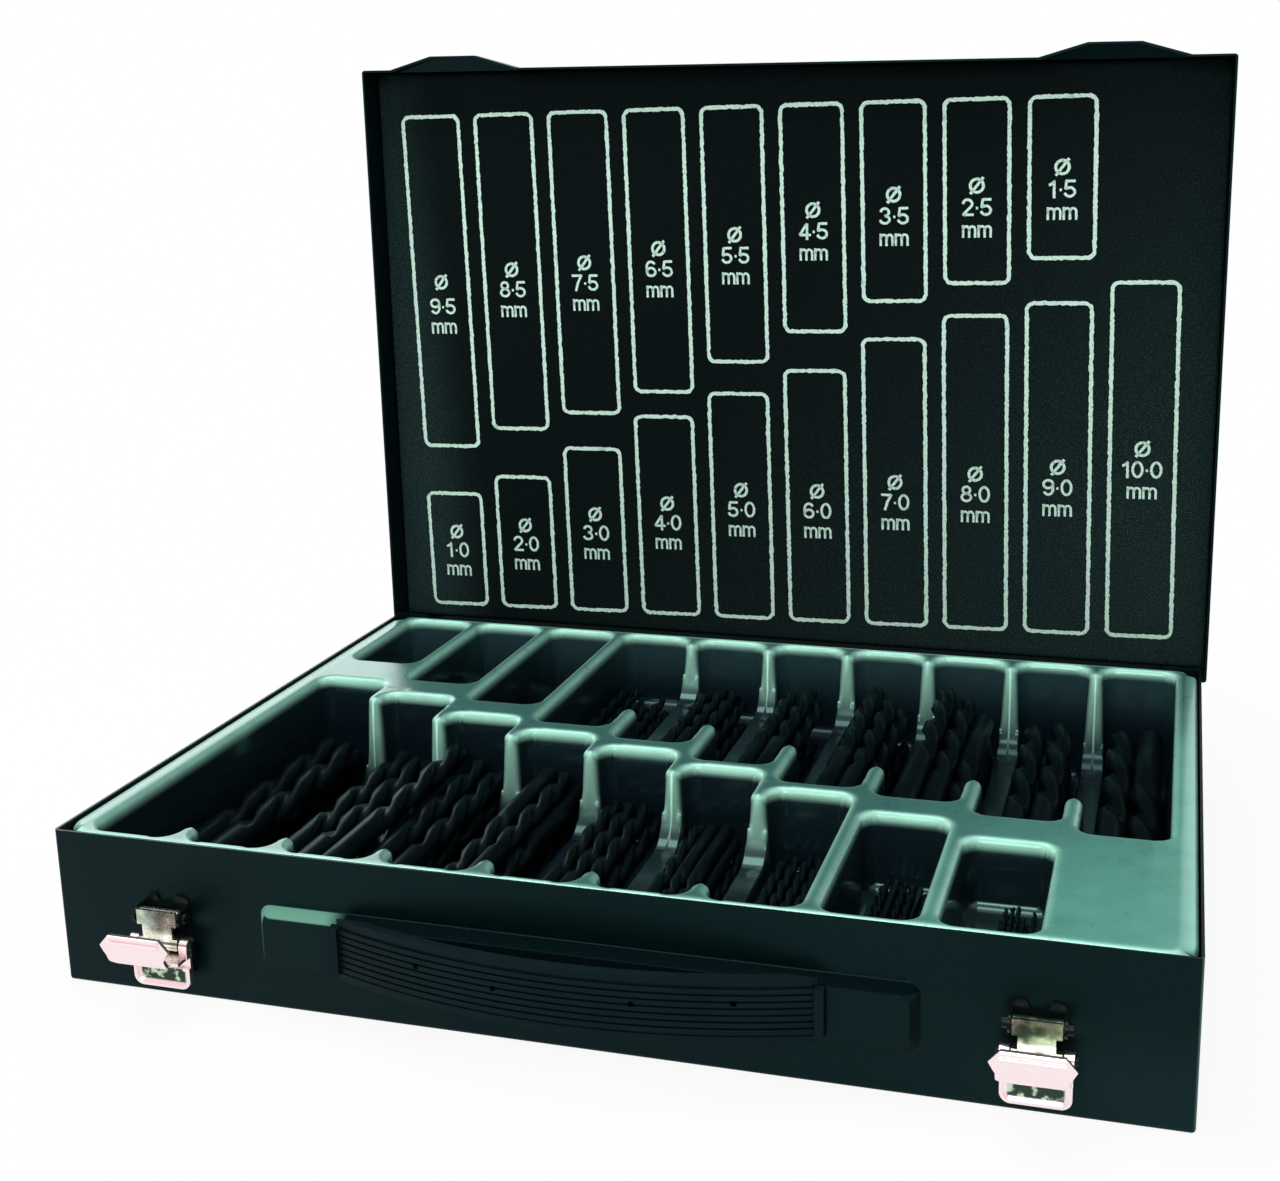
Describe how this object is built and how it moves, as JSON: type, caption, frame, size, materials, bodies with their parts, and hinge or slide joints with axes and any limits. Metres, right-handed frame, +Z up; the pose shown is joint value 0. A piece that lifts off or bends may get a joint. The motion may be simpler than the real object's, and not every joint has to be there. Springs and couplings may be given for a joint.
{
  "type": "drill bit case",
  "caption": "Folded sheet-steel drill case with a hinged lid standing open, a formed tray of graded pockets filled with loose twist drills, a bowed front handle and two draw latches.",
  "frame": {"origin": "middle of the base's underside", "axes": "+X to the right seen from the front, -Y towards the front with handle and latches, +Z up"},
  "size_m": [0.3392, 0.2624, 0.282],
  "materials": {
    "case_paint": "semi-gloss near-black paint",
    "tray_plastic": "glossy formed sheet",
    "liner_foam": "fine-celled foam with white printing",
    "hinge_paint": "black hinge leaves",
    "hinge_pin_steel": "plain wire",
    "handle_plastic": "ridged moulding",
    "bracket_steel": "blackened steel",
    "latch_plate": "nickel plate",
    "drill_steel": "black oxide"
  },
  "bodies": {
    "base": {"base_shell": "case_paint", "drill_tray": "tray_plastic", "hinge_leaf_base": "hinge_paint", "hinge_pin": "hinge_pin_steel", "handle_strap": "handle_plastic", "left_bracket": "bracket_steel", "left_rivets": "bracket_steel", "left_lever_pin": "bracket_steel", "right_bracket": "bracket_steel", "right_rivets": "bracket_steel", "right_lever_pin": "bracket_steel", "drills_1_0": "drill_steel", "drills_2_0": "drill_steel", "drills_3_0": "drill_steel", "drills_4_0": "drill_steel", "drills_5_0": "drill_steel", "drills_6_0": "drill_steel", "drills_7_0": "drill_steel", "drills_8_0": "drill_steel", "drills_9_0": "drill_steel", "drills_10_0": "drill_steel", "drills_9_5": "drill_steel", "drills_8_5": "drill_steel", "drills_7_5": "drill_steel", "drills_6_5": "drill_steel", "drills_5_5": "drill_steel", "drills_4_5": "drill_steel", "drills_3_5": "drill_steel", "drills_2_5": "drill_steel", "drills_1_5": "drill_steel"},
    "lid": {"lid_shell": "case_paint", "lid_foam": "liner_foam", "hinge_leaf_lid": "hinge_paint"},
    "left_lever": {"left_link": "latch_plate"},
    "left_claw": {"left_hook": "latch_plate", "left_hook_pin": "bracket_steel"},
    "right_lever": {"right_link": "latch_plate"},
    "right_claw": {"right_hook": "latch_plate", "right_hook_pin": "bracket_steel"}
  },
  "joints": [
    {"name": "lid_hinge", "type": "hinge", "parent": "base", "child": "lid", "pos_m": [0, 0.11565, 0.045], "axis": [1, 0, 0], "range_deg": [0, 90]},
    {"name": "left_latch", "type": "hinge", "parent": "base", "child": "left_lever", "pos_m": [-0.13, -0.11865, 0.028], "axis": [-1, 0, 0], "range_deg": [0, 172]},
    {"name": "left_latch_hook", "type": "hinge", "parent": "left_lever", "child": "left_claw", "pos_m": [-0.13, -0.11905, 0.0197], "axis": [-1, 0, 0], "range_deg": [-110.1, 0]},
    {"name": "right_latch", "type": "hinge", "parent": "base", "child": "right_lever", "pos_m": [0.127, -0.11865, 0.028], "axis": [-1, 0, 0], "range_deg": [0, 172]},
    {"name": "right_latch_hook", "type": "hinge", "parent": "right_lever", "child": "right_claw", "pos_m": [0.127, -0.11905, 0.0197], "axis": [-1, 0, 0], "range_deg": [-110.1, 0]}
  ],
  "couplings": [
    {"joint": "left_latch_hook", "follows": "left_latch", "ratio": -0.63953},
    {"joint": "right_latch_hook", "follows": "right_latch", "ratio": -0.63953}
  ]
}
